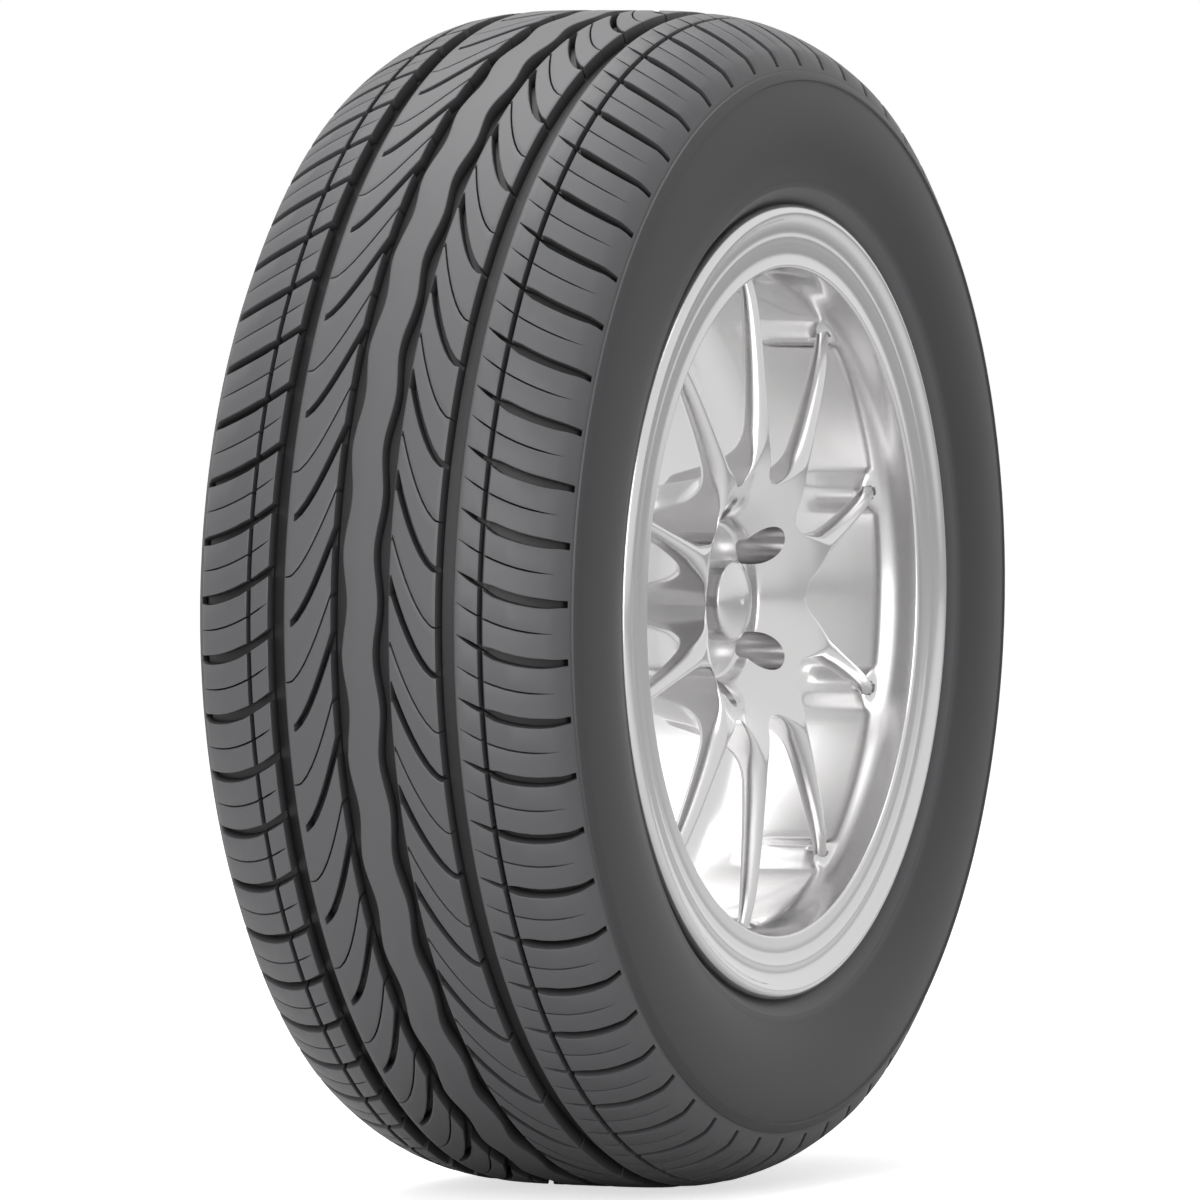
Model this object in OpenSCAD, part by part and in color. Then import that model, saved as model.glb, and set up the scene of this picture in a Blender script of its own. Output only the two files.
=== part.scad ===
// Passenger car tyre on a ten-spoke cast alloy wheel, with its centre cap and snap-in valve.
// The wheel axis lies along Y, the outboard face looks to -Y and +Z is up.
// The origin is the wheel centre, in the middle plane of the tyre.
// Solids are drawn about a local axis whose height runs outboard, then turned into that frame.

/* [Tyre] */
// Outer diameter of the tyre
tyre_diameter = 654; // [640:0.5:660]
// Widest part of the inflated section
section_width = 233; // [231:0.5:236]
// Distance between the two rings that end the tread
tread_width = 220; // [218:0.5:222]
// How far the tread surface has dropped where it meets those rings
shoulder_drop = 27; // [25:0.5:29]
// Depth of the four grooves that run round the tyre
groove_depth = 8; // [6:0.1:9]
// Depth of the grooves that run across the shoulders and ribs
cross_depth = 7; // [5:0.1:8]

/* [Tread pattern] */
// Repeats of the two slanted ribs beside the middle one
rib_pitches = 36; // [36:36]
// Repeats of the two shoulder rows
shoulder_pitches = 60; // [60:60]
// Edge of the straight groove nearest the middle
straight_inner = 43.9; // [43:0.1:45]
// Edge of the straight groove nearest the shoulder
straight_outer = 56.2; // [55:0.1:57]
// Middle of the narrow groove that runs round each shoulder
narrow_middle = 68.7; // [68:0.1:69.5]
// Width of that narrow groove
narrow_width = 3; // [2:0.1:3.6]
// Half width of the plain middle rib
middle_rib_half = 8.5; // [8:0.1:9]
// How far the edges of the middle rib sway to each side
middle_rib_sway = 1.5; // [1:0.1:1.7]
// Outer edge of the waved groove beside the middle rib
waved_outer = 18; // [17.5:0.1:18.5]
// Width of the cross grooves in the shoulder rows
cross_width = 5.6; // [4:0.1:6]
// Width of the cross grooves between the straight and the narrow groove, outboard side
block_gap_out = 2.6; // [2:0.1:3.4]
// The same on the inboard side, where they run right through to the straight groove
block_gap_in = 4.4; // [3.4:0.1:5]
// Width of the slanted grooves in the ribs
slant_width = 4; // [3.4:0.1:4.6]

/* [Rim] */
// Nominal bead seat diameter
seat_diameter = 405.6; // [405.6:405.6]
// Width between the inner faces of the two flanges
rim_width = 190.5; // [188:0.5:193]
// Height of the flanges above the bead seats
flange_height = 17.5; // [17:0.1:18]
// Distance of the outboard lip from the middle plane
lip_height = 109; // [108:0.2:110]
// Inner radius of the wide lip ring
lip_ring_inner = 185; // [184:0.2:186]
// Inner radius of the barrel behind the spokes
barrel_inner = 181; // [180:0.2:182]
// Outer radius of the drop-centre well
well_radius = 187; // [186:0.2:188.4]

/* [Spokes and hub] */
// Number of spokes
spokes = 10; // [10:10]
// Half width of a spoke at its outer end
spoke_tip_half = 3.8; // [3.4:0.1:4.6]
// Radius at which the gaps between the spokes start
gap_start = 66; // [64:0.5:68]
// Distance over which a spoke loses most of its root's extra width
spoke_taper = 24; // [20:0.5:26]
// Depth of a spoke from front to back
spoke_depth = 13; // [11:0.5:16]
// Distance of the hub face from the middle plane, the offset of the wheel
offset_height = 40; // [36:0.5:44]
// Radius of the hub face
hub_radius = 71; // [69:0.5:73]
// Diameter of the centre bore
bore_diameter = 57.1; // [56.6:0.1:58.1]
// Number of bolt holes
bolts = 5; // [5:5]
// Diameter of the bolt circle
bolt_circle = 100; // [98:0.5:101]
// Diameter of the bolt holes
bolt_hole = 14.5; // [14:0.1:15]
// Diameter of the pocket round each bolt
bolt_pocket = 21; // [20:0.5:23]
// Radius of the round recess about the centre cap
recess_radius = 45; // [43:0.5:46]
// Height of the floor of that recess
recess_floor = 61; // [60:0.2:62]

/* [Centre cap] */
// Radius of the domed cap
cap_radius = 22.5; // [21.5:0.1:24]
// Height of the cap's edge over the recess floor
cap_edge = 12; // [11:0.1:13]
// Height of the dome over the cap's edge
cap_dome = 5.6; // [5:0.1:6.4]
// Radius of the bore that takes the cap
cap_bore = 21; // [20.6:0.1:21.2]
// Clearance of the cap's skirt in that bore
cap_clearance = 0.2; // [0.1:0.05:0.4]

/* [Valve] */
// Tilt of the valve from the wheel axis
valve_tilt = 43; // [41:0.5:45]
// Diameter of the valve hole
valve_hole = 11.5; // [11.3:0.1:11.7]
// Length of the valve outside the rim
valve_length = 33; // [30:0.5:36]

/* [Hidden] */
$fn = 96;
eps = 0.01;

tyre_radius = tyre_diameter / 2;
tread_half = tread_width / 2;
bulge = section_width / 2;
tread_skin = 5.5;
seat_radius = seat_diameter / 2;
flange_radius = seat_radius + flange_height;
rim_half = rim_width / 2;
seat_taper = tan(5);
seat_length = 19;
toe_height = rim_half - seat_length;
toe_radius = seat_radius - seat_length * seat_taper;
rib_pitch = 360 / rib_pitches;
shoulder_pitch = 360 / shoulder_pitches;
spoke_pitch = 360 / spokes;
degree_arc = tyre_radius * PI / 180;
tread_ring = 293.5;
narrow_inner = narrow_middle - narrow_width / 2;
narrow_outer = narrow_middle + narrow_width / 2;
narrow_depth = 5;
rib_inner = middle_rib_half + middle_rib_sway;
valve_wall = 4.5;
well_top = toe_radius - 0.6;
well_wall_top = toe_height - 5;
well_wall_drop = well_top - well_radius;
well_floor_start = well_wall_top - well_wall_drop * tan(valve_tilt);
cut_start = 284;
cut_length = 50;
cross_end = tread_half - 1.6;
slant_turn = 3.6;
cross_phase_out = 1.8;
cross_phase_in = 1.4;
slant_phase_out = -5.1;
slant_phase_in = -0.6;
wave_phase = 1.5;
hub_bore_depth = 6;
web_foot = offset_height + 14;
bolt_start = 90 - 1.5 * spoke_pitch;
bolt_seat = 50;
bolt_seat_height = (bolt_pocket - bolt_hole) / 2 * tan(60);
root_web_half = 13;
root_web_foot = 34;
root_web_top = 82;
cap_foot = web_foot + 0.4;
cap_wall = 2.4;
catch_low = cap_foot + 1;
catch_high = catch_low + 2.4;
catch_depth = 1.2;
spring_wire = 0.8;
slim_from = 7;
stem_radius = 3.85;
core_radius = 2.3;
cap_grip_radius = 5;
valve_radius = (well_top + well_radius) / 2;
valve_height = (well_wall_top + well_floor_start) / 2;

// Radius of the tread surface at a distance from the middle plane.
function crown(y) = tyre_radius - shoulder_drop * pow(abs(y) / tread_half, 4);

// Turns what is drawn about the local axis into the wheel's frame.
module about_wheel_axis() rotate([90, 0, 0]) children();

// Copies children round the axis.
module around(count, start = 0) {
    for (i = [0:count - 1]) rotate([0, 0, start + i * 360 / count]) children();
}

// Half of the tread surface from the middle to the shoulder, with its four grooves.
function tread_points() = [
    [crown(0), 0],
    [crown(rib_inner), rib_inner],
    [crown(rib_inner) - groove_depth, rib_inner + 0.8],
    [crown(waved_outer) - groove_depth, waved_outer - 0.8],
    [crown(waved_outer), waved_outer],
    [crown(31), 31],
    [crown(straight_inner), straight_inner],
    [crown(straight_inner) - groove_depth, straight_inner + 1.5],
    [crown(straight_outer) - groove_depth, straight_outer - 1.5],
    [crown(straight_outer), straight_outer],
    [crown(narrow_inner), narrow_inner],
    [crown(narrow_inner) - narrow_depth, narrow_inner + 0.3],
    [crown(narrow_outer) - narrow_depth, narrow_outer - 0.3],
    [crown(narrow_outer), narrow_outer],
    for (y = [78, 86, 93, 99, 104]) [crown(y), y],
    [crown(104) - 4, 106.6],
    [tread_ring + 3, tread_half - 1.2]
];

// Half of the outer sidewall from the end ring of the tread to the bead toe.
function wall_points() = [
    [tread_ring + 0.4, tread_half - 0.4],
    [tread_ring, tread_half + 0.8],
    [tread_ring - 3.4, tread_half + 3.2],
    [tread_ring - 5, tread_half + 3],
    [280, bulge - 1.4],
    [271, bulge - 0.3],
    [262, bulge],
    [252, bulge - 0.5],
    [243, bulge - 2.2],
    [235, bulge - 5],
    [flange_radius + 8, bulge - 8.6],
    [flange_radius + 3.2, bulge - 12],
    [flange_radius - 1, rim_half + 5],
    [flange_radius - 5, rim_half + 2],
    [flange_radius - 9, rim_half],
    [seat_radius, rim_half],
    [toe_radius, toe_height]
];

// Half of the inner surface from the bead toe back to the middle.
function liner_points() = [
    [toe_radius + 3, toe_height - 3],
    [toe_radius + 11, toe_height - 1],
    [226, rim_half - 8],
    [243, bulge - 14],
    [262, bulge - 8],
    [280, bulge - 11],
    [294, bulge - 20],
    [304, bulge - 32],
    [crown(66) - groove_depth - tread_skin, 66],
    [crown(0) - groove_depth - tread_skin, 0]
];

function half_section() = concat(tread_points(), wall_points(), liner_points());

// Angle of a cross groove above its outer end, in degrees, at a distance from the middle plane.
function cross_rise(y) = 3.05 * pow(max(0, 106 - y) / 50, 2);

// Outline of a cross groove in the plane that touches the tread there.
module cross_outline(side) {
    gap = side > 0 ? block_gap_out : block_gap_in;
    inner = [side > 0 ? straight_outer + 0.8 : straight_outer - 3, narrow_middle];
    outer = [narrow_middle, 81, 95, cross_end];
    function edge(y, half) = [side * y, cross_rise(y) * degree_arc + half];
    polygon([
        for (y = inner) edge(y, -gap / 2),
        for (y = outer) edge(y, -cross_width / 2),
        for (i = [len(outer) - 1:-1:0]) edge(outer[i], cross_width / 2),
        for (i = [len(inner) - 1:-1:0]) edge(inner[i], gap / 2)
    ]);
}

// Angle of a slanted groove above its lower end at a distance from the middle plane.
function slant_rise(y) = 7.3 * pow(max(0, 43.4 - y) / 23.4, 1.55);

// Outline of a slanted groove: it leaves the waved groove and runs down to the side.
module slant_outline(side, stop) {
    line = [waved_outer + 1, 23.5, 28, 34, stop];
    across = slant_width / 2;
    function point(y, way) = [side * (y + way * across * 0.85), slant_rise(y) * degree_arc + way * across * 0.5];
    translate([0, -slant_turn * degree_arc]) polygon([
        [side * (waved_outer - 2), (slant_rise(waved_outer) + 1.2) * degree_arc],
        for (y = line) point(y, 1),
        for (i = [len(line) - 1:-1:0]) point(line[i], -1),
        [side * (waved_outer - 2), slant_rise(waved_outer) * degree_arc - 2]
    ]);
}

// Outline of the bite that makes one wave in the edge of the middle rib.
module wave_outline(side) {
    reach = rib_pitch * 0.46;
    steps = 6;
    angles = [for (i = [0:steps]) reach * (2 * i / steps - 1)];
    polygon([
        [side * (rib_inner + 2), -reach * degree_arc],
        for (a = angles)
            [side * (middle_rib_half - middle_rib_sway * cos(360 * a / rib_pitch)), a * degree_arc],
        [side * (rib_inner + 2), reach * degree_arc]
    ]);
}

// Side view of the space over the floor of a cut between two distances on one side.
module floor_outline(side, from, to) {
    reach = [from, each [for (y = [30, 56, 74, 86, 96, 103]) if (y > from && y < to) y], to];
    polygon([
        for (y = reach) [side * y, crown(y) - cross_depth],
        [side * to, tyre_radius + 3],
        [side * from, tyre_radius + 3]
    ]);
}

// Stands an outline on end at an angle round the tyre and keeps what lies over the floor.
// The outline runs across the tread first and up the tyre second.
module tread_cut(angle, side, from, to) {
    rotate([0, 0, -angle]) rotate([0, -90, 0]) intersection() {
        translate([0, 0, cut_start]) linear_extrude(cut_length) children();
        rotate([90, 0, 0]) linear_extrude(90, center = true) floor_outline(side, from, to);
    }
}

// The four kinds of cut, seen on the side where the pattern's arrows point up.
module tread_cuts() {
    for (i = [0:shoulder_pitches - 1]) {
        tread_cut(cross_phase_out + i * shoulder_pitch, 1, 50, cross_end + 1) cross_outline(1);
        tread_cut(cross_phase_in + i * shoulder_pitch, -1, 50, cross_end + 1) cross_outline(-1);
    }
    for (i = [0:rib_pitches - 1]) {
        tread_cut(slant_phase_out + slant_turn + i * rib_pitch, 1, 12, 50)
            slant_outline(1, straight_inner + 2);
        tread_cut(slant_phase_in + slant_turn + i * rib_pitch, -1, 12, 50)
            slant_outline(-1, straight_inner - 2);
        tread_cut(wave_phase + rib_pitch / 2 + i * rib_pitch, 1, 4, 16) wave_outline(1);
        tread_cut(wave_phase + i * rib_pitch, -1, 4, 16) wave_outline(-1);
    }
}

module tyre() {
    half = half_section();
    color("#2b2b2d") about_wheel_axis() difference() {
        rotate_extrude() polygon(concat(
            half, [for (i = [len(half) - 1:-1:0]) [half[i][0], -half[i][1]]]
        ));
        tread_cuts();
    }
}

// Outline of the rim in section, the outboard lip first.
module rim_section() {
    polygon([
        [flange_radius, lip_height - 3.6],
        [flange_radius - 1.6, lip_height - 0.8],
        [flange_radius - 4, lip_height],
        [flange_radius - 6.5, lip_height - 0.8],
        [flange_radius - 8, lip_height - 3],
        [flange_radius - 14, lip_height - 4.6],
        [flange_radius - 20, lip_height - 4],
        [flange_radius - 22, lip_height - 5.6],
        [lip_ring_inner + 5, lip_height - 6.4],
        [lip_ring_inner, lip_height - 4.4],
        [lip_ring_inner - 1.2, lip_height - 6],
        [barrel_inner + 1, lip_height - 18],
        [barrel_inner, lip_height - 28],
        [barrel_inner, 8],
        [seat_radius - 9, -22],
        [seat_radius - 9, 14 - rim_half],
        [seat_radius - 4, 2 - rim_half],
        [flange_radius - 9, -rim_half - 7],
        [flange_radius - 5, -rim_half - 10],
        [flange_radius - 1.6, -rim_half - 10.4],
        [flange_radius, -rim_half - 9],
        [flange_radius - 1, -rim_half - 5],
        [flange_radius - 5, -rim_half - 2],
        [flange_radius - 9, -rim_half],
        [seat_radius, -rim_half],
        [toe_radius, -toe_height],
        [toe_radius + 1, -toe_height + 2],
        [well_top, -toe_height + 5],
        [well_top, -18],
        [well_radius, 12],
        [well_radius, well_floor_start],
        [well_top, well_wall_top],
        [toe_radius + 1, toe_height - 2],
        [toe_radius, toe_height],
        [seat_radius, rim_half],
        [flange_radius - 9, rim_half],
        [flange_radius - 5, rim_half + 2],
        [flange_radius - 1, rim_half + 5]
    ]);
}

// Half width of a spoke at a radius: a wide root that runs out to a slim bar.
function spoke_half(r) = spoke_tip_half + (gap_start * sin(spoke_pitch / 2) - spoke_tip_half)
    * exp(-(r - gap_start) / spoke_taper) + 2.6 * pow(max(0, r - 150) / 32, 2);

// Outline of the gap between two spokes, seen along the axis.
module spoke_gap() {
    radii = [gap_start + 3, 74, 80, 90, 104, 122, 142, 158, 170, barrel_inner + 1];
    half_pitch = spoke_pitch / 2;
    function flank(r) = half_pitch - asin(spoke_half(r) / r);
    polygon([
        for (i = [len(radii) - 1:-1:0])
            [radii[i] * cos(flank(radii[i])), -radii[i] * sin(flank(radii[i]))],
        [gap_start, 0],
        for (r = radii) [r * cos(flank(r)), r * sin(flank(r))]
    ]);
}

// Front and back of the spider of spokes in section.
module spider_section() {
    front = [
        [cap_bore - 4, 66], [42, 66.8], [52, 74.6], [59, 80.4], [67, 85.7], [75, 90.2], [86, 93.5],
        [100, 93], [119, 91], [145, 88], [165, 86], [barrel_inner + 2, 84.5]
    ];
    polygon([
        for (p = front) p,
        for (i = [len(front) - 1:-1:slim_from])
            [front[i][0], front[i][1] - spoke_depth + (i - slim_from) * 0.6],
        [88, 78],
        [78, 68],
        [hub_radius + 2, offset_height + 6],
        [hub_radius, offset_height],
        [cap_bore - 4, offset_height]
    ]);
}

// Low web that ties a spoke to the barrel behind its end.
module root_web() {
    translate([0, 0, root_web_foot]) linear_extrude(root_web_top - root_web_foot)
        polygon([
            [barrel_inner + 3, -root_web_half],
            [barrel_inner - 1.5, -root_web_half + 0.5],
            [barrel_inner - 4.2, -root_web_half + 3],
            [barrel_inner - 5.4, -root_web_half + 7],
            [barrel_inner - 5.4, root_web_half - 7],
            [barrel_inner - 4.2, root_web_half - 3],
            [barrel_inner - 1.5, root_web_half - 0.5],
            [barrel_inner + 3, root_web_half]
        ]);
}

module hub_bores() {
    translate([0, 0, offset_height - 1]) cylinder(d = bore_diameter, h = hub_bore_depth + 1 + eps);
    translate([0, 0, offset_height + hub_bore_depth])
        cylinder(d1 = bore_diameter, r2 = cap_bore, h = web_foot - offset_height - hub_bore_depth);
    translate([0, 0, offset_height]) cylinder(r = cap_bore, h = 60);
    translate([0, 0, catch_low]) cylinder(r = cap_bore + catch_depth, h = catch_high - catch_low);
    translate([0, 0, recess_floor]) cylinder(r = recess_radius, h = 60);
    around(bolts, bolt_start) translate([bolt_circle / 2, 0, 0]) {
        translate([0, 0, offset_height - 1]) cylinder(d = bolt_hole, h = 60);
        translate([0, 0, bolt_seat]) cylinder(d1 = bolt_hole, d2 = bolt_pocket, h = bolt_seat_height);
        translate([0, 0, bolt_seat + bolt_seat_height - eps]) cylinder(d = bolt_pocket, h = 60);
    }
}

// Puts children on the slope of the well where the valve stands, with their height along the valve.
module at_valve() {
    rotate([0, 0, 180]) translate([valve_radius, 0, valve_height]) rotate([0, -valve_tilt, 0]) children();
}

module alloy_wheel() {
    color("#c9c7c6") about_wheel_axis() difference() {
        union() {
            rotate_extrude() rim_section();
            difference() {
                rotate_extrude() spider_section();
                around(spokes, 90 + spoke_pitch / 2) translate([0, 0, offset_height + 1])
                    linear_extrude(80) spoke_gap();
            }
            around(spokes, 90) root_web();
        }
        hub_bores();
        at_valve() {
            translate([0, 0, -8]) cylinder(d = valve_hole, h = 40);
            translate([0, 0, -12]) cylinder(r = 10, h = 12);
            translate([0, 0, valve_wall]) cylinder(r = 10, h = 40);
        }
    }
}

module centre_cap() {
    skirt = cap_bore - cap_clearance;
    edge = recess_floor + cap_edge;
    color("#cfcdcc") about_wheel_axis() rotate_extrude() polygon([
        [0, edge + cap_dome],
        for (a = [15:15:90]) [cap_radius * sin(a), edge + cap_dome * cos(a)],
        [cap_radius, recess_floor],
        [skirt, recess_floor],
        [skirt, catch_high - cap_clearance],
        [skirt + catch_depth, catch_high - cap_clearance - 0.6],
        [skirt, catch_low + cap_clearance],
        [skirt, cap_foot],
        [skirt - cap_wall, cap_foot],
        [skirt - cap_wall, recess_floor + 1],
        [cap_radius - cap_wall, recess_floor + 2.4],
        [cap_radius - cap_wall, edge - 1],
        [cap_radius * 0.6, edge + cap_dome * 0.8 - cap_wall],
        [0, edge + cap_dome - cap_wall]
    ]);
}

module cap_spring_ring() {
    color("#8d8f92") about_wheel_axis() translate([0, 0, (catch_low + catch_high) / 2]) rotate_extrude()
        translate([cap_bore - cap_clearance - cap_wall - spring_wire, 0]) circle(r = spring_wire, $fn = 24);
}

module valve_body() {
    hole = valve_hole / 2;
    color("#232325") about_wheel_axis() at_valve() rotate_extrude() polygon([
        [stem_radius, -7],
        [hole - 0.4, -7],
        [hole + 2.4, -4.6],
        [hole + 3, -1.2],
        [hole + 3, 0],
        [hole, 0],
        [hole, valve_wall],
        [hole + 2.2, valve_wall],
        [hole + 2, valve_wall + 3],
        [hole - 0.6, valve_wall + 9],
        [stem_radius + 0.9, valve_wall + valve_length - 11],
        [stem_radius, valve_wall + valve_length - 10]
    ]);
}

module valve_stem() {
    color("#b9974f") about_wheel_axis() at_valve() rotate_extrude() polygon([
        [core_radius, -8],
        [stem_radius, -8],
        [stem_radius, valve_wall + valve_length - 10],
        [stem_radius, valve_wall + valve_length],
        [core_radius, valve_wall + valve_length]
    ]);
}

module valve_core() {
    top = valve_wall + valve_length;
    color("#a98a4a") about_wheel_axis() at_valve() {
        translate([0, 0, top - 9]) cylinder(r = core_radius, h = 8, $fn = 32);
        translate([0, 0, top - 22]) cylinder(r = 0.9, h = 13.5, $fn = 24);
        translate([0, 0, top - 24]) cylinder(r = core_radius, h = 2.5, $fn = 32);
        translate([0, 0, top - 1.5]) cylinder(r = 0.8, h = 1.3, $fn = 24);
    }
}

module valve_cap() {
    top = valve_wall + valve_length;
    color("#1e1e20") about_wheel_axis() at_valve() difference() {
        union() {
            translate([0, 0, top - 8.5]) cylinder(r = cap_grip_radius, h = 8.5, $fn = 12);
            translate([0, 0, top]) cylinder(r1 = cap_grip_radius - 0.5, r2 = cap_grip_radius - 1.5, h = 2);
        }
        translate([0, 0, top - 9]) cylinder(r = stem_radius, h = 9);
    }
}

tyre();
alloy_wheel();
centre_cap();
cap_spring_ring();
valve_body();
valve_stem();
valve_core();
valve_cap();
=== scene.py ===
"""A passenger car tyre on its ten-spoke cast wheel: rubber, cast aluminium and the small valve parts.

Lengths in this file are millimetres until a piece is finished. A place on the wheel is given by
its radius, its angle and its height, which runs outboard from the middle plane of the tyre.
"""

import math

import bmesh
import bpy
from mathutils import Matrix, Vector


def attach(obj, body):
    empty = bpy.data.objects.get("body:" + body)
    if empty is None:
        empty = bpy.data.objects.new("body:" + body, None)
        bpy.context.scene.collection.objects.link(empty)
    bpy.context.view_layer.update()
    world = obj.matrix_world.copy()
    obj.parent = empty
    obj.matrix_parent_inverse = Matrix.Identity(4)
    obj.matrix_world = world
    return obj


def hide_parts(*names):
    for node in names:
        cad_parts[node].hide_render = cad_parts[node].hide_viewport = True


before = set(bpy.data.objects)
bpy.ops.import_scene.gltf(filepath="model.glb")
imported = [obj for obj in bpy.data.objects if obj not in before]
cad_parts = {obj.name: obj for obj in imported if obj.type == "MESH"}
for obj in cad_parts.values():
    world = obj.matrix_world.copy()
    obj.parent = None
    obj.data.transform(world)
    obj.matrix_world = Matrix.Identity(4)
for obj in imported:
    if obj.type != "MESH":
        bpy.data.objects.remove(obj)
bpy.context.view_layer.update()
scene = bpy.context.scene
MM = 0.001
TYRE_RADIUS = 327.0
TREAD_HALF = 110.0


# Shared helpers


def smoothstep(x, low, high):
    """0 below low, 1 above high and an even change between."""
    t = min(max((x - low) / (high - low), 0), 1)
    return t * t * (3 - 2 * t)


def between(x, table):
    """The value at x on the straight lines that join a table's (x, value) pairs."""
    for (x0, y0), (x1, y1) in zip(table, table[1:]):
        if x <= x1:
            return y0 + (y1 - y0) * max(0, (x - x0) / (x1 - x0))
    return table[-1][1]


def wheel_point(radius, angle, height):
    """A point in the wheel's frame; angles run up from the -X side, as seen in the picture."""
    turn = math.radians(angle)
    return Vector((-radius * math.cos(turn), -height, radius * math.sin(turn)))


def finish_piece(bm, name, material, sharp_degrees, replaces=()):
    """Turns a bmesh in millimetres into a piece that rides on the wheel."""
    bmesh.ops.scale(bm, vec=(MM, MM, MM), verts=bm.verts)
    limit = math.radians(sharp_degrees)
    for face in bm.faces:
        face.smooth = True
    for edge in bm.edges:
        if len(edge.link_faces) == 2 and edge.calc_face_angle(0) > limit:
            edge.smooth = False
    mesh = bpy.data.meshes.new(name)
    bm.to_mesh(mesh)
    bm.free()
    mesh.materials.append(material)
    piece = bpy.data.objects.new(name, mesh)
    scene.collection.objects.link(piece)
    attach(piece, "root")
    if replaces:
        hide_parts(*replaces)
    return piece


def turned_ring(points, steps):
    """A bmesh of a closed section of (radius, height) points turned once round the wheel axis."""
    bm = bmesh.new()
    corners = [bm.verts.new(wheel_point(r, 180, h)) for r, h in points]
    loop = [bm.edges.new((a, b)) for a, b in zip(corners, corners[1:] + corners[:1])]
    bmesh.ops.spin(
        bm, geom=corners + loop, cent=(0, 0, 0), axis=(0, 1, 0), angle=math.tau,
        steps=steps, use_merge=True, use_duplicate=False,
    )
    bmesh.ops.remove_doubles(bm, verts=bm.verts, dist=0.0005)
    bmesh.ops.recalc_face_normals(bm, faces=bm.faces)
    return bm


# Materials


def linear(hex_colour):
    """An sRGB hex colour as linear RGBA."""
    channels = [int(hex_colour[i : i + 2], 16) / 255 for i in (1, 3, 5)]
    return [c / 12.92 if c <= 0.04045 else ((c + 0.055) / 1.055) ** 2.4 for c in channels] + [1]


def add_node(tree, kind, settings=None, **inputs):
    """Adds a node, sets its properties and fills or links its inputs by name or number."""
    node = tree.nodes.new(kind)
    for key, value in (settings or {}).items():
        setattr(node, key, value)
    for key, value in inputs.items():
        name = key.replace("_", " ")
        socket = node.inputs[int(name[1:])] if name[0] == "i" and name[1:].isdigit() else node.inputs[name]
        if isinstance(value, bpy.types.NodeSocket):
            tree.links.new(value, socket)
        else:
            socket.default_value = value
    return node


def new_material(name):
    """An empty node material with its Principled shader and the Object coordinates."""
    material = bpy.data.materials.new(name)
    material.use_nodes = True
    tree = material.node_tree
    tree.nodes.clear()
    shader = add_node(tree, "ShaderNodeBsdfPrincipled")
    add_node(tree, "ShaderNodeOutputMaterial", Surface=shader.outputs[0])
    place = add_node(tree, "ShaderNodeTexCoord").outputs["Object"]
    return material, tree, shader, place


def add_grain(tree, shader, place, size, height, strength):
    """Roughens a surface with grains of a size and height in millimetres."""
    grain = add_node(
        tree, "ShaderNodeTexNoise", Vector=place, Scale=1 / (size * MM), Detail=3.0, Roughness=0.6
    )
    bump = add_node(
        tree, "ShaderNodeBump", Height=grain.outputs["Fac"], Strength=strength, Distance=height * MM
    )
    tree.links.new(bump.outputs[0], shader.inputs["Normal"])


def moulded_rubber():
    """Vulcanised rubber: the tread is painted a lighter grey as a painted sheen, and the sidewall a darker
    grey and the grooves near black as painted shade.
    """
    material, tree, shader, place = new_material("moulded_rubber")
    shader.inputs["Roughness"].default_value = 0.5
    shader.inputs["IOR"].default_value = 1.5
    depth = add_node(tree, "ShaderNodeAttribute", {"attribute_name": "groove"}).outputs["Fac"]
    across = add_node(tree, "ShaderNodeSeparateXYZ", Vector=place).outputs["Y"]
    across = add_node(tree, "ShaderNodeMath", {"operation": "ABSOLUTE"}, i0=across).outputs[0]
    wall = add_node(
        tree, "ShaderNodeMapRange",
        Value=across, i1=(TREAD_HALF - 1) * MM, i2=(TREAD_HALF + 1) * MM,
    )
    # Painted sheen and shade: the tread is coloured lighter for the top light's sheen on it, the sidewall
    # past the shoulder darker for its shade.
    skin = add_node(
        tree, "ShaderNodeMix", {"data_type": "RGBA"},
        Factor=wall.outputs[0], i6=linear("#4e4e50"), i7=linear("#303032"),
    )
    # Painted shade: the deeper a point sits in a cut, the nearer its colour goes to black.
    shade = add_node(
        tree, "ShaderNodeMix", {"data_type": "RGBA"},
        Factor=depth, i6=skin.outputs[2], i7=linear("#040405"),
    )
    tree.links.new(shade.outputs[2], shader.inputs["Base Color"])
    add_grain(tree, shader, place, 0.9, 0.15, 0.3)
    return material


def painted_aluminium():
    """Cast aluminium in silver wheel paint: fine flakes give a soft sheen under a sharp clear coat."""
    material, tree, shader, place = new_material("painted_aluminium")
    shader.inputs["Metallic"].default_value = 1.0
    shader.inputs["Roughness"].default_value = 0.24
    shader.inputs["Base Color"].default_value = linear("#cecdcd")
    shader.inputs["Coat Weight"].default_value = 1.0
    shader.inputs["Coat Roughness"].default_value = 0.06
    add_grain(tree, shader, place, 0.4, 0.02, 0.15)
    return material


def bare_metal(name, colour, roughness, grain):
    """A bare turned or drawn metal whose tool marks blur what it mirrors."""
    material, tree, shader, place = new_material(name)
    shader.inputs["Metallic"].default_value = 1.0
    shader.inputs["Roughness"].default_value = roughness
    shader.inputs["Base Color"].default_value = linear(colour)
    add_grain(tree, shader, place, grain, 0.02, 0.2)
    return material


def black_nylon():
    """The dust cap's black nylon: a dull gloss from a plain mould."""
    material, tree, shader, place = new_material("black_nylon")
    shader.inputs["Base Color"].default_value = linear("#161617")
    shader.inputs["Roughness"].default_value = 0.4
    shader.inputs["IOR"].default_value = 1.53
    add_grain(tree, shader, place, 0.5, 0.03, 0.3)
    return material


RUBBER = moulded_rubber()
ALUMINIUM = painted_aluminium()
BRASS = bare_metal("turned_brass", "#c9a15a", 0.28, 0.3)
SPRING_STEEL = bare_metal("spring_steel", "#a4a6a8", 0.3, 0.2)
NYLON = black_nylon()


# Tyre

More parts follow.
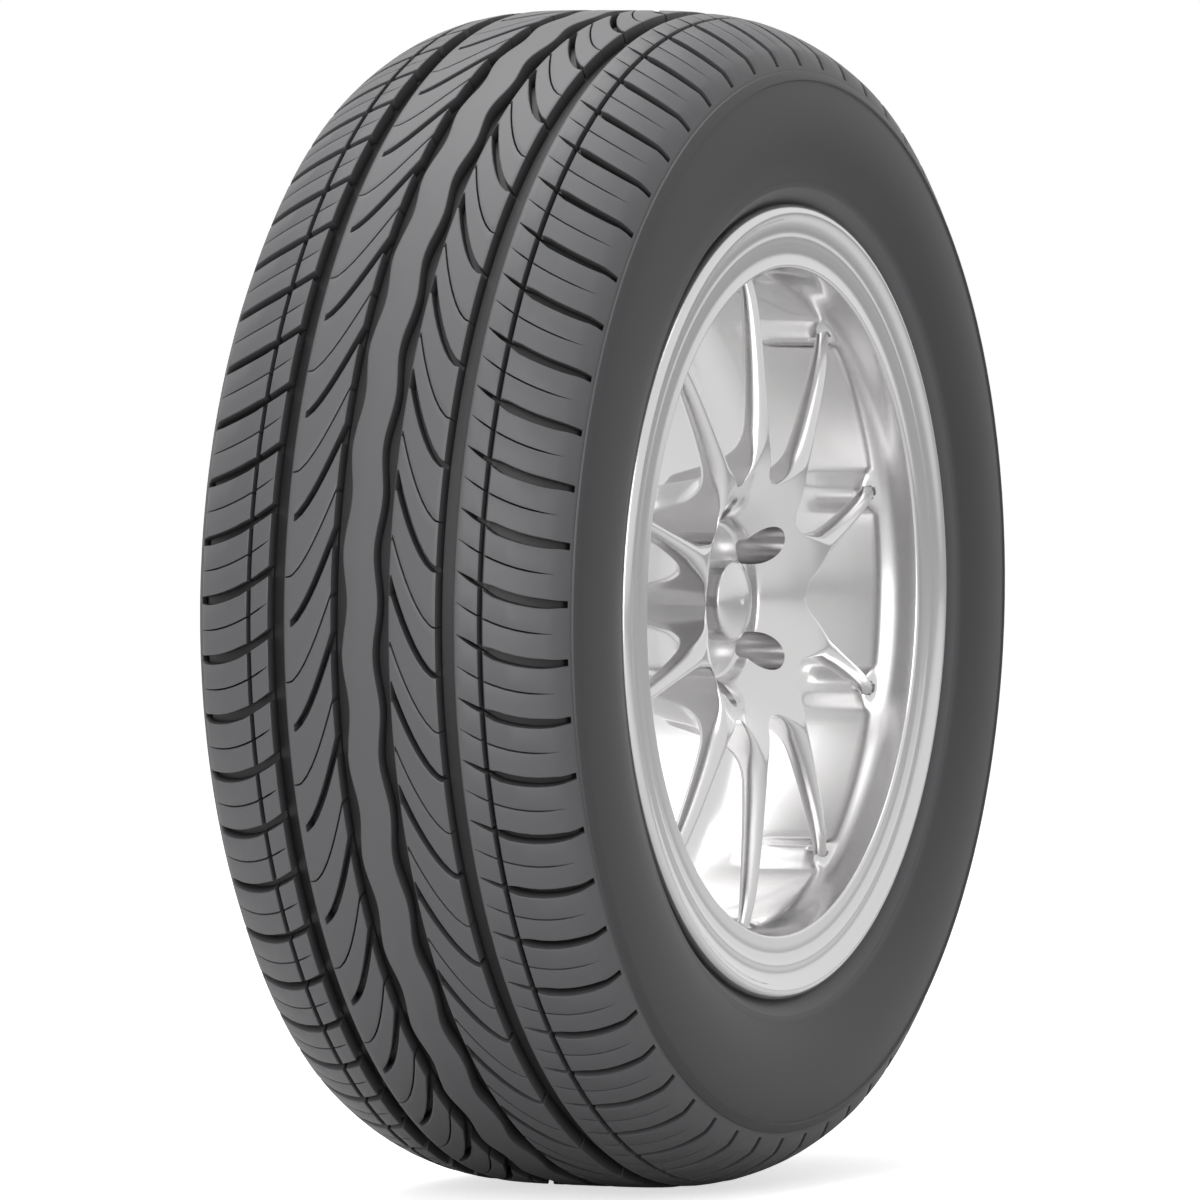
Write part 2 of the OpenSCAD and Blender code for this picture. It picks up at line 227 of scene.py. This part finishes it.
SHOULDER_DROP = 27.0
COLUMNS = 720
DEGREE_ARC = TYRE_RADIUS * math.pi / 180
MAIN_DEPTH = 8.0
CROSS_DEPTH = 7.0
SIPE_DEPTH = 5.0
NARROW_DEPTH = 5.0
RIB_HALF = 8.5
RIB_SWAY = 1.5

# The shoulder past the crown's curve, the ring that ends the tread, and the sidewall to the bead.
SHOULDER_ROWS = [(106.4, 301.8), (107.5, 299.6), (108.7, 296.8), (109.5, 294.0)]
WALL_ROWS = [
    (110.6, 293.8), (113.7, 289.9), (113.9, 288.9), (113.1, 288.2), (114.0, 284.5), (115.4, 277.5),
    (116.4, 266), (116.2, 255), (114.6, 244), (112.0, 235.6), (110.0, 230.6), (110.0, 229.6),
    (109.2, 228.8), (106.6, 225.6), (103.6, 222.4), (100.0, 219.0), (95.4, 212), (95.2, 203), (76.2, 201.2),
]
LINER_ROWS = [(73, 204), (87, 226), (108, 262), (96, 294), (60, 312), (0, 313.4)]

# Grooves round the tyre: edges, depth, and how far the outboard edge is rounded.
ROUND_GROOVES = [
    (-70.2, -67.2, NARROW_DEPTH, 0), (-56.2, -43.9, MAIN_DEPTH, 2.8), (-17.8, -RIB_HALF, MAIN_DEPTH, 1.5),
    (RIB_HALF, 17.8, MAIN_DEPTH, 1.5), (43.9, 56.2, MAIN_DEPTH, 2.8), (67.2, 70.2, NARROW_DEPTH, 0),
]
LAND_ROWS = [0, 20.5, 23.2, 26.2, 29.6, 33.2, 37, 40.6, 42, 58.6, 62.5, 75, 81, 87, 92.5, 97, 101, 104]
UNCUT = -1


def crown(height):
    return TYRE_RADIUS - SHOULDER_DROP * (abs(height) / TREAD_HALF) ** 4


def section_rows():
    """Every row of the tyre's section as (height, radius, depth), once round from the inboard shoulder."""
    rows = [(h, crown(h), 0) for a in LAND_ROWS for h in sorted({-a, a})]
    for low, high, depth, rounding in ROUND_GROOVES:
        rows += [(low - 0.5, crown(low), 0), (low, crown(low), 0.35), (low + 0.7, crown(low), depth)]
        if rounding:
            for share, drop in ((0, 0), (0.5, 0.134), (0.85, 0.47), (1, 1)):
                rows.append((high - share * rounding, crown(high), drop * rounding))
            rows.append((high - rounding - 0.4, crown(high), depth))
        else:
            edge = ((high - 0.5, depth), (high, 0.35), (high + 0.5, 0))
            rows += [(h, crown(high), drop) for h, drop in edge]
    rows.sort()
    half = [(h, r, 0) for h, r in SHOULDER_ROWS] + [(h, r, UNCUT) for h, r in WALL_ROWS + LINER_ROWS]
    return rows + half + [(-h, r, depth) for h, r, depth in reversed(half[:-1])]


def slant_rise(a):
    """Angle by which a slanted groove has climbed at a distance from the middle plane."""
    return 7.3 * (max(0, 43.4 - max(a, 17.8)) / 23.4) ** 1.55


def slant_stretch(a):
    """Degrees round the tyre for a millimetre across a slanted groove."""
    slope = 2.76 * (max(0, 43.4 - max(a, 17.8)) / 23.4) ** 0.55
    return math.hypot(1, slope) / DEGREE_ARC


def cross_rise(a):
    return 3.05 * (max(0, 106 - a) / 50) ** 2


def cross_stretch(a):
    slope = 3.05 * DEGREE_ARC * 2 * max(0, 106 - a) / 2500
    return math.hypot(1, slope) / DEGREE_ARC


def cut_columns(half, sipe_half, stretch, sipe_at, pitch, first, second):
    """Angles of one pitch's columns: six across the groove, five across the sipe, the rest between."""
    foot = max(half - 0.35, 0.12)
    groove = [x * stretch for x in (-half - 0.5, -half, -foot, foot, half, half + 0.5)]
    sipe = [sipe_at + x * stretch for x in (-sipe_half - 0.45, -sipe_half, 0, sipe_half, sipe_half + 0.45)]
    gap = [groove[5] + (sipe[0] - groove[5]) * (i + 1) / (first + 1) for i in range(first)]
    rest = pitch + groove[0] - sipe[4]
    return groove + gap + sipe + [sipe[4] + rest * (i + 1) / (second + 1) for i in range(second)]


GROOVE_DEPTHS = (0, 0.05, 1, 1, 0.05, 0)
SIPE_DEPTHS = (0, 0.04, 1, 0.04, 0)


def column_place(height, k):
    """Angle of a column at a height, and the share of groove and sipe that it stands in."""
    a, side = abs(height), 1 if height > 0 else -1
    if a < 50:
        end = -5.1 if side > 0 else -0.6
        if a < 9.3:
            end = -2.85 - 2.25 * height / 9.3
        pitch, column = divmod(k, 20)
        angles = cut_columns(1.85, 0.5, slant_stretch(a), 4.5, 10, 4, 5)
        shares = GROOVE_DEPTHS + (0,) * 4 + SIPE_DEPTHS + (0,) * 5
        return end + slant_rise(a) + 10 * pitch + angles[column], shares[column], column < 6
    end, shift = (1.8, 20) if side > 0 else (1.4, 10)
    pitch, column = divmod((k - shift) % COLUMNS, 12)
    angles = cut_columns(cross_half(a, side), sipe_half(a, side), cross_stretch(a), 3, 6, 1, 0)
    shares = GROOVE_DEPTHS + (0,) + SIPE_DEPTHS
    return end + cross_rise(a) + 6 * pitch + angles[column], shares[column], column < 6


def cross_half(a, side):
    """Half width of a cross groove: narrow in the block row, wide over the shoulder."""
    block = between(a, [(56.5, 0.35), (62, 1.1), (68, 1.4)]) if side > 0 else 2.3
    return block + (2.9 - block) * smoothstep(a, 68, 74) - 0.7 * smoothstep(a, 98, 108)


def sipe_half(a, side):
    return 0.15 + 0.38 * smoothstep(a, 57, 62) * (1 - smoothstep(a, 92, 104 if side > 0 else 108))


def cut_depth(height, is_groove):
    """Depth of the cut that a column would make at a height, without the grooves round the tyre."""
    a, side = abs(height), 1 if height > 0 else -1
    if a < 50:
        if a < 17.5:
            return 0
        if is_groove:
            return CROSS_DEPTH if side > 0 or a < 41.5 else 0
        return SIPE_DEPTH if a < 44 else 0
    if a > 108:
        return 0
    if is_groove:
        start = smoothstep(a, 56.6, 61) if side > 0 else 1
        return CROSS_DEPTH * start
    return SIPE_DEPTH * smoothstep(a, 56.6, 59) * (1 - smoothstep(a, 96, 103 if side > 0 else 107))


def make_tyre():
    """The whole tyre as one skin: a flat grid whose rows are rolled into the section and round."""
    rows = section_rows()
    bm = bmesh.new()
    groove = bm.verts.layers.float.new("groove")
    bmesh.ops.create_grid(bm, x_segments=COLUMNS, y_segments=len(rows), size=0.5)
    for vert in bm.verts:
        k = round((vert.co.x + 0.5) * COLUMNS)
        height, radius, depth = rows[round((vert.co.y + 0.5) * len(rows)) % len(rows)]
        angle, share, is_groove = column_place(height, k % COLUMNS)
        if depth > UNCUT:
            cut = cut_depth(height, is_groove) * share
            # The groove attribute grows with the depth of the cut; it is the mask for the painted shade in
            # the grooves.
            vert[groove] = smoothstep(max(depth, cut), 0.4, 2.5)
            radius -= max(depth, cut)
        if abs(height) < 10.5 and depth > UNCUT:
            height += RIB_SWAY * math.cos(math.radians(36 * (angle - 1.5)))
        vert.co = wheel_point(radius, angle, height)
    bmesh.ops.remove_doubles(bm, verts=bm.verts, dist=0.0005)
    bmesh.ops.recalc_face_normals(bm, faces=bm.faces)
    return finish_piece(bm, "tyre_rubber", RUBBER, 32, ["tyre"])


make_tyre()


# Wheel

SPOKES = 10
HALF_PITCH = 180 / SPOKES
GAP_START = 68.0
HUB_FACE = 40.0
CAP_BORE = 21.0
BORE_RADIUS = 28.55
BORE_DEPTH = 6.0
WEB_FOOT = 54.0
RECESS_FLOOR = 61.0
BARREL_INNER = 181.0
BOLT_CIRCLE = 50.0
BOLT_RADIUS = 7.25
BOLT_SEAT = 50.0
POCKET_RADIUS = 10.5
# The bores are cut from below the hub face to above the lip.
BELOW, ABOVE = 30.0, 110.0
# Radius, angle and height of the valve on the well's slope, and its tilt towards the axis.
VALVE_PLACE = (193.77, 0, 64.94, 43)
VALVE_HOLE = 5.75
VALVE_WALL = 4.5
VALVE_POCKET = 10.0

# Front of the spider over the radius: cap bore, recess, its wall, the hub's rise and the spokes.
FRONT = [
    (CAP_BORE, RECESS_FLOOR), (30, RECESS_FLOOR), (41.5, RECESS_FLOOR),
    (43.6, 61.7), (44.6, 63.6), (45, 66.4), (45.8, 68.7), (47.6, 70.6),
    (52, 75), (59, 81.2), (68, 87), (75, 90.8), (82, 92.9), (89, 93.8), (100, 93.6), (119, 92.2),
    (145, 89.8), (165, 87), (184, 83.2),
]
BACK = [
    (CAP_BORE, HUB_FACE), (70.2, HUB_FACE),
    (71, 41.2), (73.5, 50), (78, 66), (84, 75), (91, 79), (100, 80.4),
    (119, 80.2), (145, 79.2), (165, 78.4), (184, 77.4),
]


def flowing(x, table):
    """The value at x on a smooth curve through a table's (x, value) pairs."""
    last = len(table) - 1
    i = next((n for n in range(last) if x <= table[n + 1][0]), last - 1)

    def slope(n):
        low, high = table[max(n - 1, 0)], table[min(n + 1, last)]
        before = (table[n][1] - low[1]) * (high[1] - table[n][1])
        return (high[1] - low[1]) / (high[0] - low[0]) if before > 0 else 0

    (x0, y0), (x1, y1) = table[i], table[i + 1]
    t, span = (x - x0) / (x1 - x0), x1 - x0
    return (
        y0 * (1 + 2 * t) * (1 - t) ** 2 + y1 * t * t * (3 - 2 * t)
        + slope(i) * span * t * (1 - t) ** 2 - slope(i + 1) * span * t * t * (1 - t)
    )


def dished(start, end, sag, count):
    """Points of a shallow hollow from one (radius, height) to another."""
    (r0, h0), (r1, h1) = start, end
    return [
        (r0 + (r1 - r0) * t, h0 + (h1 - h0) * t - 4 * sag * t * (1 - t))
        for t in (i / count for i in range(count + 1))
    ]


def rounded(centre, radius, start, end, count):
    """Points of an arc about a (radius, height) centre; 0 degrees looks outwards, 90 outboard."""
    turns = (math.radians(start + (end - start) * i / count) for i in range(count + 1))
    return [(centre[0] + radius * math.cos(t), centre[1] + radius * math.sin(t)) for t in turns]


BAR_HALF = 15.0
BAR_RISE = 5.4


def bar_rise(aside, height):
    """How far the bar behind a spoke's end stands in from the barrel."""
    hump = max(0, 1 - (aside / BAR_HALF) ** 2) ** 2
    return BAR_RISE * hump * smoothstep(height, 33, 46) * (1 - smoothstep(height, 78, 85))


def make_rim():
    """The rim as a sheet rolled into its section and round the wheel, with a bar behind each spoke."""
    front = (
        [(219.3, 100.2)] + rounded((215.4, 104.2), 4.8, 0, 140, 12) + [(210.9, 106.75), (210.0, 106.4)]
        + dished((208.8, 106.1), (201.8, 105.7), 0.3, 6) + [(200.7, 105.55), (199.5, 105.3), (198.3, 105.1)]
        + dished((197.2, 105.0), (188.4, 104.9), 0.4, 8) + rounded((186.6, 103.4), 1.7, 60, 180, 6)
        + [(184.4, 99), (184.1, 95), (183.7, 92), (183.1, 89.4), (182.4, 87), (181.7, 84.8), (181.2, 82.6)]
        + [(BARREL_INNER, h) for h in (80.4, 78, 72, 66, 58, 50, 44, 41, 39, 37, 34, 26, 17, 8)]
    )
    back = [
        (184, -2), (190.5, -15), (193.2, -20), (193.8, -24), (193.8, -80), (195, -86), (199.5, -94),
        (206, -99.5), (211.3, -102.3),
    ] + rounded((216.0, -101.2), 4.4, 250, 360, 8) + [
        (219.3, -100.2), (215.3, -97.2), (211.3, -95.2), (202.8, -95.2), (201.1, -76.2), (202.1, -74.2),
        (200.5, -71.2), (200.5, -18), (187, 12), (187, 58.7), (200.5, 71.2), (202.1, 74.2),
        (201.1, 76.2), (202.8, 95.2), (211.3, 95.2), (215.3, 97.2),
    ]
    section = front + back
    near = [math.degrees(BAR_HALF / BARREL_INNER) * i / 10 for i in range(11)]
    turns = [-t for t in reversed(near[1:])] + near
    rest = 2 * (HALF_PITCH - near[-1])
    turns += [near[-1] + rest * (i + 1) / 14 for i in range(13)]
    columns = [2 * HALF_PITCH * k + HALF_PITCH + t for k in range(SPOKES) for t in turns]
    bm = bmesh.new()
    bmesh.ops.create_grid(bm, x_segments=len(columns), y_segments=len(section), size=0.5)
    for vert in bm.verts:
        angle = columns[round((vert.co.x + 0.5) * len(columns)) % len(columns)]
        radius, height = section[round((vert.co.y + 0.5) * len(section)) % len(section)]
        if radius < BARREL_INNER + 3:
            radius -= bar_rise(math.radians((angle % (2 * HALF_PITCH)) - HALF_PITCH) * BARREL_INNER, height)
        vert.co = wheel_point(radius, angle, height)
    bmesh.ops.remove_doubles(bm, verts=bm.verts, dist=0.0005)
    bmesh.ops.recalc_face_normals(bm, faces=bm.faces)
    return bm


SPOKE_TIP = 3.8
SPIDER_RADII = [
    CAP_BORE, 25, 32, 38, 41.5, 42.6, 43.6, 44.1, 44.5, 44.8, 45.1, 45.5, 46.1, 47, 48.4, 50, 53, 56, 59,
    61.5, 63.5, 65, 66.3, 67.3, GAP_START, 68.1, 68.3, 68.6, 69, 69.6, 70.4, 71.4, 72.7, 74.2, 76, 78, 80,
    82.5, 85.5, 89.5, 94, 99, 105, 111, 118, 126, 135, 144, 153, 161, 168, 173, 177, 180, 182.5, 184,
]
FRONT_STEPS = 12
WALL_STEPS = 3
BACK_STEPS = 6
CORNER_STEPS = 9


def spoke_half(r):
    """Half width of a spoke: the gap starts as a rounded notch and leaves a slim bar."""
    root = GAP_START * math.sin(math.radians(HALF_PITCH)) - SPOKE_TIP
    away = r - GAP_START
    notch = 0.5 * math.exp(-away / 13) + 0.24 * math.exp(-away / 42) + 0.26 * math.exp(-away / 1.5)
    return SPOKE_TIP + root * notch + 1.4 * smoothstep(r, 174, 187)


def sleeve_section(r):
    """The closed section of a spoke as (aside, height) points, from one front corner round to it again."""
    half = r * math.sin(math.radians(HALF_PITCH)) if r <= GAP_START else spoke_half(r)
    top, under = flowing(r, FRONT), flowing(r, BACK)
    near, slim = smoothstep(r, GAP_START - 1, GAP_START + 3), smoothstep(r, GAP_START + 2, 96)
    corner = min(2.2 + 5.8 * slim, half - 0.05) * near
    fall = min(2.2 + 7.0 * slim, 0.72 * (top - under)) * near
    foot = min(2.6, half - 0.05) * near
    flat = half - corner
    shoulder = top - fall
    arc = [math.radians(90 * i / CORNER_STEPS) for i in range(1, CORNER_STEPS + 1)]
    points = [(flat * (2 * i / FRONT_STEPS - 1), top) for i in range(FRONT_STEPS + 1)]
    right = [(flat + corner * math.sin(t), shoulder + fall * math.cos(t)) for t in arc]
    wall = under + foot - shoulder
    right += [(half, shoulder + wall * i / WALL_STEPS) for i in range(1, WALL_STEPS + 1)]
    right += [(half - foot + foot * math.cos(t), under + foot - foot * math.sin(t)) for t in arc]
    back = [((half - foot) * (1 - 2 * i / BACK_STEPS), under) for i in range(1, BACK_STEPS)]
    return points + right + back + [(-x, h) for x, h in reversed(right)]


def make_spider():
    """Hub and spokes: ten sleeves round the spokes that join into one plate about the hub."""
    bm = bmesh.new()
    last = len(SPIDER_RADII) - 1
    sections = [sleeve_section(r) for r in SPIDER_RADII]
    count = len(sections[0])
    inner_walls = set()
    for spoke in range(SPOKES):
        sleeve = bmesh.ops.create_grid(bm, x_segments=last, y_segments=count, size=0.5)
        for vert in sleeve["verts"]:
            row = round((vert.co.x + 0.5) * last)
            r = SPIDER_RADII[row]
            aside, height = sections[row][round((vert.co.y + 0.5) * count) % count]
            angle = math.degrees(math.asin(max(-1, min(1, aside / r))))
            if r <= GAP_START:
                angle = HALF_PITCH * aside / (r * math.sin(math.radians(HALF_PITCH)))
                if abs(angle) > HALF_PITCH - 0.001:
                    inner_walls.add(vert)
            vert.co = wheel_point(r, HALF_PITCH * (2 * spoke + 1) + angle, height)
    hidden = [f for f in bm.faces if all(v in inner_walls for v in f.verts)]
    bmesh.ops.delete(bm, geom=hidden, context="FACES")
    bmesh.ops.remove_doubles(bm, verts=bm.verts, dist=0.004)
    bmesh.ops.holes_fill(bm, edges=[e for e in bm.edges if len(e.link_faces) == 1], sides=0)
    bmesh.ops.recalc_face_normals(bm, faces=bm.faces)
    return bm


def turned_plug(bm, steps, place, count):
    """Adds the solid that a bore takes away, from its (radius, depth) steps about a line."""
    line = [bm.verts.new(place @ Vector((r, 0, d))) for r, d in steps]
    edges = [bm.edges.new(pair) for pair in zip(line, line[1:])]
    bmesh.ops.spin(
        bm, geom=line + edges, cent=place.translation, axis=place.to_3x3() @ Vector((0, 0, 1)),
        angle=math.tau, steps=count, use_merge=True, use_duplicate=False,
    )


def wheel_axis(radius, angle, height=0, tilt=0):
    """The place of a bore: its depth runs outboard, or tilts towards the wheel's middle."""
    turn = Matrix.Rotation(math.radians(angle), 4, "Y")
    return turn @ Matrix.Translation((-radius, -height, 0)) @ Matrix.Rotation(math.radians(90), 4, "X") \
        @ Matrix.Rotation(math.radians(tilt), 4, "Y")


def make_bores():
    """What is cut from the casting: the car's and the cap's bore, five bolt holes and the valve's hole."""
    bm = bmesh.new()
    turned_plug(
        bm, [
            (0, BELOW), (BORE_RADIUS, BELOW), (BORE_RADIUS, HUB_FACE + BORE_DEPTH),
            (CAP_BORE, WEB_FOOT), (CAP_BORE, ABOVE), (0, ABOVE),
        ],
        wheel_axis(0, 0), 128,
    )
    seat = BOLT_SEAT + (POCKET_RADIUS - BOLT_RADIUS) * math.tan(math.radians(60))
    for bolt in range(5):
        turned_plug(
            bm, [
                (0, BELOW), (BOLT_RADIUS, BELOW), (BOLT_RADIUS, BOLT_SEAT),
                (POCKET_RADIUS, seat), (POCKET_RADIUS, ABOVE), (0, ABOVE),
            ],
            wheel_axis(BOLT_CIRCLE, 72 * bolt), 72,
        )
    turned_plug(
        bm, [
            (0, -12), (VALVE_POCKET, -12), (VALVE_POCKET, 0), (VALVE_HOLE, 0),
            (VALVE_HOLE, VALVE_WALL), (VALVE_POCKET, VALVE_WALL), (VALVE_POCKET, 44), (0, 44),
        ],
        wheel_axis(*VALVE_PLACE), 64,
    )
    bmesh.ops.remove_doubles(bm, verts=bm.verts, dist=0.0005)
    bmesh.ops.recalc_face_normals(bm, faces=bm.faces)
    return bm


def scratch_object(bm, name):
    """A bmesh as an object that a modifier can use and that is removed afterwards."""
    mesh = bpy.data.meshes.new(name)
    bm.to_mesh(mesh)
    bm.free()
    thing = bpy.data.objects.new(name, mesh)
    scene.collection.objects.link(thing)
    return thing


def combined(base, others):
    """The bmesh that is left when (operation, bmesh) pairs are applied to a base bmesh."""
    body = scratch_object(base, "body")
    tools = []
    for operation, bm in others:
        tool = scratch_object(bm, "tool")
        step = body.modifiers.new(operation, "BOOLEAN")
        step.operation, step.solver, step.object = operation, "EXACT", tool
        tools.append(tool)
    result = bmesh.new()
    result.from_object(body, bpy.context.evaluated_depsgraph_get())
    for thing in [body] + tools:
        bpy.data.objects.remove(thing)
    return result


def make_wheel():
    """The one casting: the rim with its spokes and hub, bored for the car, the bolts and the cap."""
    casting = combined(make_rim(), [("UNION", make_spider()), ("DIFFERENCE", make_bores())])
    return finish_piece(casting, "alloy_casting", ALUMINIUM, 30, ["alloy_wheel"])


def make_cap():
    """The centre cap: a thick round button with a domed face over its skirt."""
    edge, dome = 73.0, 5.6
    skirt, wall, foot = CAP_BORE - 0.2, 2.4, WEB_FOOT + 0.4
    turns = (math.radians(90 * i / 14) for i in range(1, 14))
    face = [(22.4 * math.sin(a), edge + dome * math.cos(a)) for a in turns]
    side = [(22.4, edge), (22.5, edge - 1), (22.5, RECESS_FLOOR), (skirt, RECESS_FLOOR), (skirt, foot)]
    inside = [(skirt - wall, foot), (skirt - wall, 62), (20, 63.4), (20, 72), (13.5, 75.2), (0.9, 76.2)]
    bm = turned_ring(face + side + inside, 96)
    bmesh.ops.holes_fill(bm, edges=[e for e in bm.edges if len(e.link_faces) == 1], sides=0)
    return finish_piece(bm, "cap_button", ALUMINIUM, 35, ["centre_cap"])


make_wheel()
make_cap()
for node, material in (
    ("cap_spring_ring", SPRING_STEEL), ("valve_body", RUBBER), ("valve_stem", BRASS),
    ("valve_core", BRASS), ("valve_cap", NYLON),
):
    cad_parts[node].data.materials.clear()
    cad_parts[node].data.materials.append(material)


# Studio


def soft_lamp(name, place, aim, size, power):
    data = bpy.data.lights.new(name, "AREA")
    data.shape = "RECTANGLE"
    data.size, data.size_y = size
    data.energy = power
    lamp = bpy.data.objects.new(name, data)
    lamp.location = place
    lamp.rotation_euler = (Vector(aim) - Vector(place)).to_track_quat("-Z", "Y").to_euler()
    scene.collection.objects.link(lamp)
    return lamp


def make_floor():
    material, tree, shader, place = new_material("studio_floor")
    shader.inputs["Base Color"].default_value = linear("#f4f4f4")
    shader.inputs["Roughness"].default_value = 0.9
    seen = add_node(tree, "ShaderNodeLightPath").outputs["Is Camera Ray"]
    lift = add_node(tree, "ShaderNodeMath", {"operation": "MULTIPLY"}, i0=seen, i1=0.66)
    shader.inputs["Emission Color"].default_value = linear("#ffffff")
    tree.links.new(lift.outputs[0], shader.inputs["Emission Strength"])
    bm = bmesh.new()
    bmesh.ops.create_grid(bm, x_segments=1, y_segments=1, size=30)
    bmesh.ops.translate(bm, vec=(0, 0, -TYRE_RADIUS * MM), verts=bm.verts)
    mesh = bpy.data.meshes.new("studio_floor")
    bm.to_mesh(mesh)
    bm.free()
    mesh.materials.append(material)
    floor = bpy.data.objects.new("studio_floor", mesh)
    scene.collection.objects.link(floor)


def make_world():
    world = bpy.data.worlds.new("studio")
    scene.world = world
    world.use_nodes = True
    tree = world.node_tree
    tree.nodes.clear()
    rays = add_node(tree, "ShaderNodeLightPath")
    seen = add_node(
        tree, "ShaderNodeMath", {"operation": "MAXIMUM"},
        i0=rays.outputs["Is Camera Ray"], i1=rays.outputs["Is Glossy Ray"],
    )
    seen = add_node(
        tree, "ShaderNodeMath", {"operation": "MAXIMUM"},
        i0=seen.outputs[0], i1=rays.outputs["Is Transmission Ray"],
    )
    strength = add_node(
        tree, "ShaderNodeMath", {"operation": "MULTIPLY_ADD"}, i0=seen.outputs[0], i1=0.65, i2=0.35
    )
    sky = add_node(tree, "ShaderNodeBackground", Color=linear("#ffffff"), Strength=strength.outputs[0])
    add_node(tree, "ShaderNodeOutputWorld", Surface=sky.outputs[0])


def make_camera():
    """The photograph's view: a long lens almost level with the axle, 65 degrees round from the face."""
    azimuth, elevation, roll = math.radians(-65.46), math.radians(2.344), math.radians(0.185)
    back = Vector((
        math.sin(azimuth) * math.cos(elevation),
        -math.cos(azimuth) * math.cos(elevation),
        math.sin(elevation),
    ))
    data = bpy.data.cameras.new("camera")
    data.sensor_width = 36
    data.lens = 432
    data.shift_x, data.shift_y = -0.01115, -0.00156
    camera = bpy.data.objects.new("camera", data)
    turn = (-back).to_track_quat("-Z", "Y").to_matrix().to_4x4() @ Matrix.Rotation(roll, 4, "Z")
    camera.matrix_world = Matrix.Translation(back * 8.014) @ turn
    scene.collection.objects.link(camera)
    scene.camera = camera


scene.view_settings.view_transform = "Standard"
make_floor()
make_world()
make_camera()
soft_lamp("top_box", (-0.7, 0.5, 2.6), (0, 0, 0), (3.0, 3.0), 50)
soft_lamp("left_box", (-3.0, -0.6, 0.8), (0, 0, 0), (2.6, 2.6), 60)
soft_lamp("back_box", (0.9, 0.9, 2.7), (0, 0, 0), (2.2, 2.2), 30)
